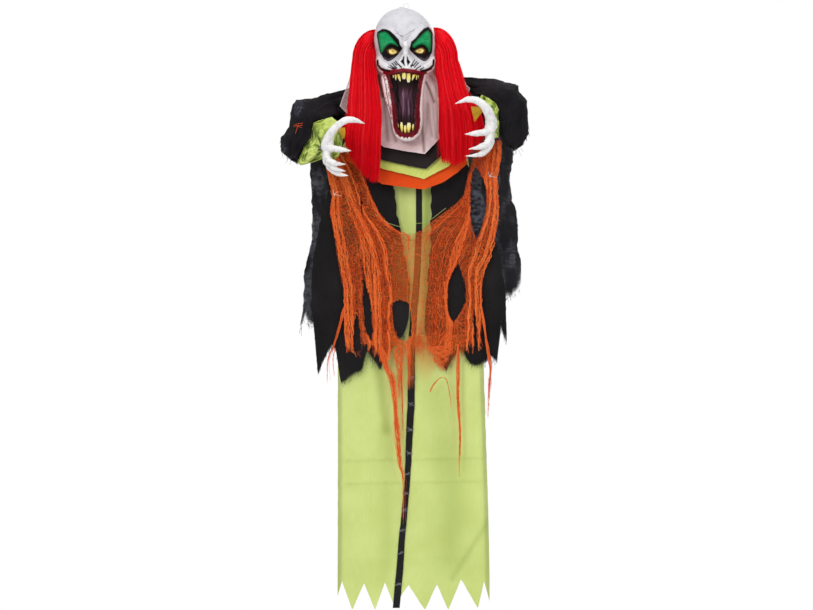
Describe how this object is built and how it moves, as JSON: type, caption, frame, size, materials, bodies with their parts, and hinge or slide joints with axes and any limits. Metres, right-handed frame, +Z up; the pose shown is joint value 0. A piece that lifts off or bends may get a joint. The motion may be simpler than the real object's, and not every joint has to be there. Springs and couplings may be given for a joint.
{
  "type": "hanging clown decoration",
  "caption": "Life-size hanging monster clown figure with a moulded gaping skull face, fibre hair, layered collar, ragged jacket and net, long robe and posable arms with claw hands.",
  "frame": {"origin": "inner top of the hanging eye on the crown", "axes": "+Z up along the figure, the face looks along -Y, +X to the right of someone who faces it"},
  "size_m": [0.724, 0.4439, 1.8458],
  "materials": {
    "claw_white": "satin",
    "cloth_black": "crinkled gauze",
    "cloth_lime": "plain weave",
    "cloth_orange": "plain weave",
    "cloth_purple": "matte cloth",
    "cloth_white": "thin plain weave",
    "eye_yellow": "glossy",
    "foam": "open foam",
    "hair_red": "straight fibre",
    "mask_white": "satin moulded mask",
    "net_orange": "loose open gauze",
    "ribbon_black": "satin ribbon",
    "steel": "plain wire and tube",
    "tooth_yellow": "glossy"
  },
  "bodies": {
    "head_and_shoulders": {"hanging_eye": "mask_white", "skull_shell": "mask_white", "head_core": "foam", "crown_washer": "steel", "crown_nut": "steel", "eyeball_left": "eye_yellow", "eyeball_right": "eye_yellow", "upper_teeth": "tooth_yellow", "lower_teeth": "tooth_yellow", "mouth_liner": "cloth_purple", "hair_left": "hair_red", "hair_right": "hair_red", "neck_post": "steel", "neck_pad": "foam", "collar_band": "cloth_white", "shoulder_bar": "steel", "collar_orange": "cloth_orange", "collar_lime": "cloth_lime", "collar_black": "cloth_black", "collar_white": "cloth_white"},
    "gown": {"yoke_left": "cloth_black", "yoke_right": "cloth_black", "robe_front": "cloth_lime", "robe_back": "cloth_lime", "jacket_front_left": "cloth_black", "jacket_front_right": "cloth_black", "jacket_back": "cloth_black", "jacket_tail_left": "cloth_black", "jacket_tail_right": "cloth_black", "ribbon": "ribbon_black", "net_front": "net_orange", "net_knot_left": "cloth_white", "net_knot_right": "cloth_white"},
    "upper_arm_left": {"upper_wire_left": "steel", "upper_sleeve_left": "cloth_black"},
    "forearm_left": {"fore_wire_left": "steel", "fore_sleeve_left": "cloth_black", "cuff_left": "cloth_lime"},
    "hand_body_left": {"hand_left": "claw_white"},
    "upper_arm_right": {"upper_wire_right": "steel", "upper_sleeve_right": "cloth_black"},
    "forearm_right": {"fore_wire_right": "steel", "fore_sleeve_right": "cloth_black", "cuff_right": "cloth_lime"},
    "hand_body_right": {"hand_right": "claw_white"}
  },
  "joints": [
    {"name": "shoulder_left", "type": "hinge", "parent": "head_and_shoulders", "child": "upper_arm_left", "pos_m": [-0.178, 0, -0.275], "axis": [0, 1, 0], "range_deg": [-4, 35]},
    {"name": "elbow_left", "type": "hinge", "parent": "upper_arm_left", "child": "forearm_left", "pos_m": [-0.31059, -0.082, -0.35], "axis": [0, 0, -1], "range_deg": [-5, 30]},
    {"name": "wrist_left", "type": "hinge", "parent": "forearm_left", "child": "hand_body_left", "pos_m": [-0.25659, -0.2356, -0.444], "axis": [0, 1, 0], "range_deg": [-20, 20]},
    {"name": "shoulder_right", "type": "hinge", "parent": "head_and_shoulders", "child": "upper_arm_right", "pos_m": [0.178, 0, -0.275], "axis": [0, -1, 0], "range_deg": [-4, 35]},
    {"name": "elbow_right", "type": "hinge", "parent": "upper_arm_right", "child": "forearm_right", "pos_m": [0.31479, -0.104, -0.295], "axis": [0, 0, 1], "range_deg": [-5, 30]},
    {"name": "wrist_right", "type": "hinge", "parent": "forearm_right", "child": "hand_body_right", "pos_m": [0.2628, -0.26498, -0.377], "axis": [0, -1, 0], "range_deg": [-20, 20]},
    {"name": "gown_sway", "type": "hinge", "parent": "head_and_shoulders", "child": "gown", "pos_m": [0, 0, -0.275], "axis": [1, 0, 0], "range_deg": [-2, 6]}
  ]
}
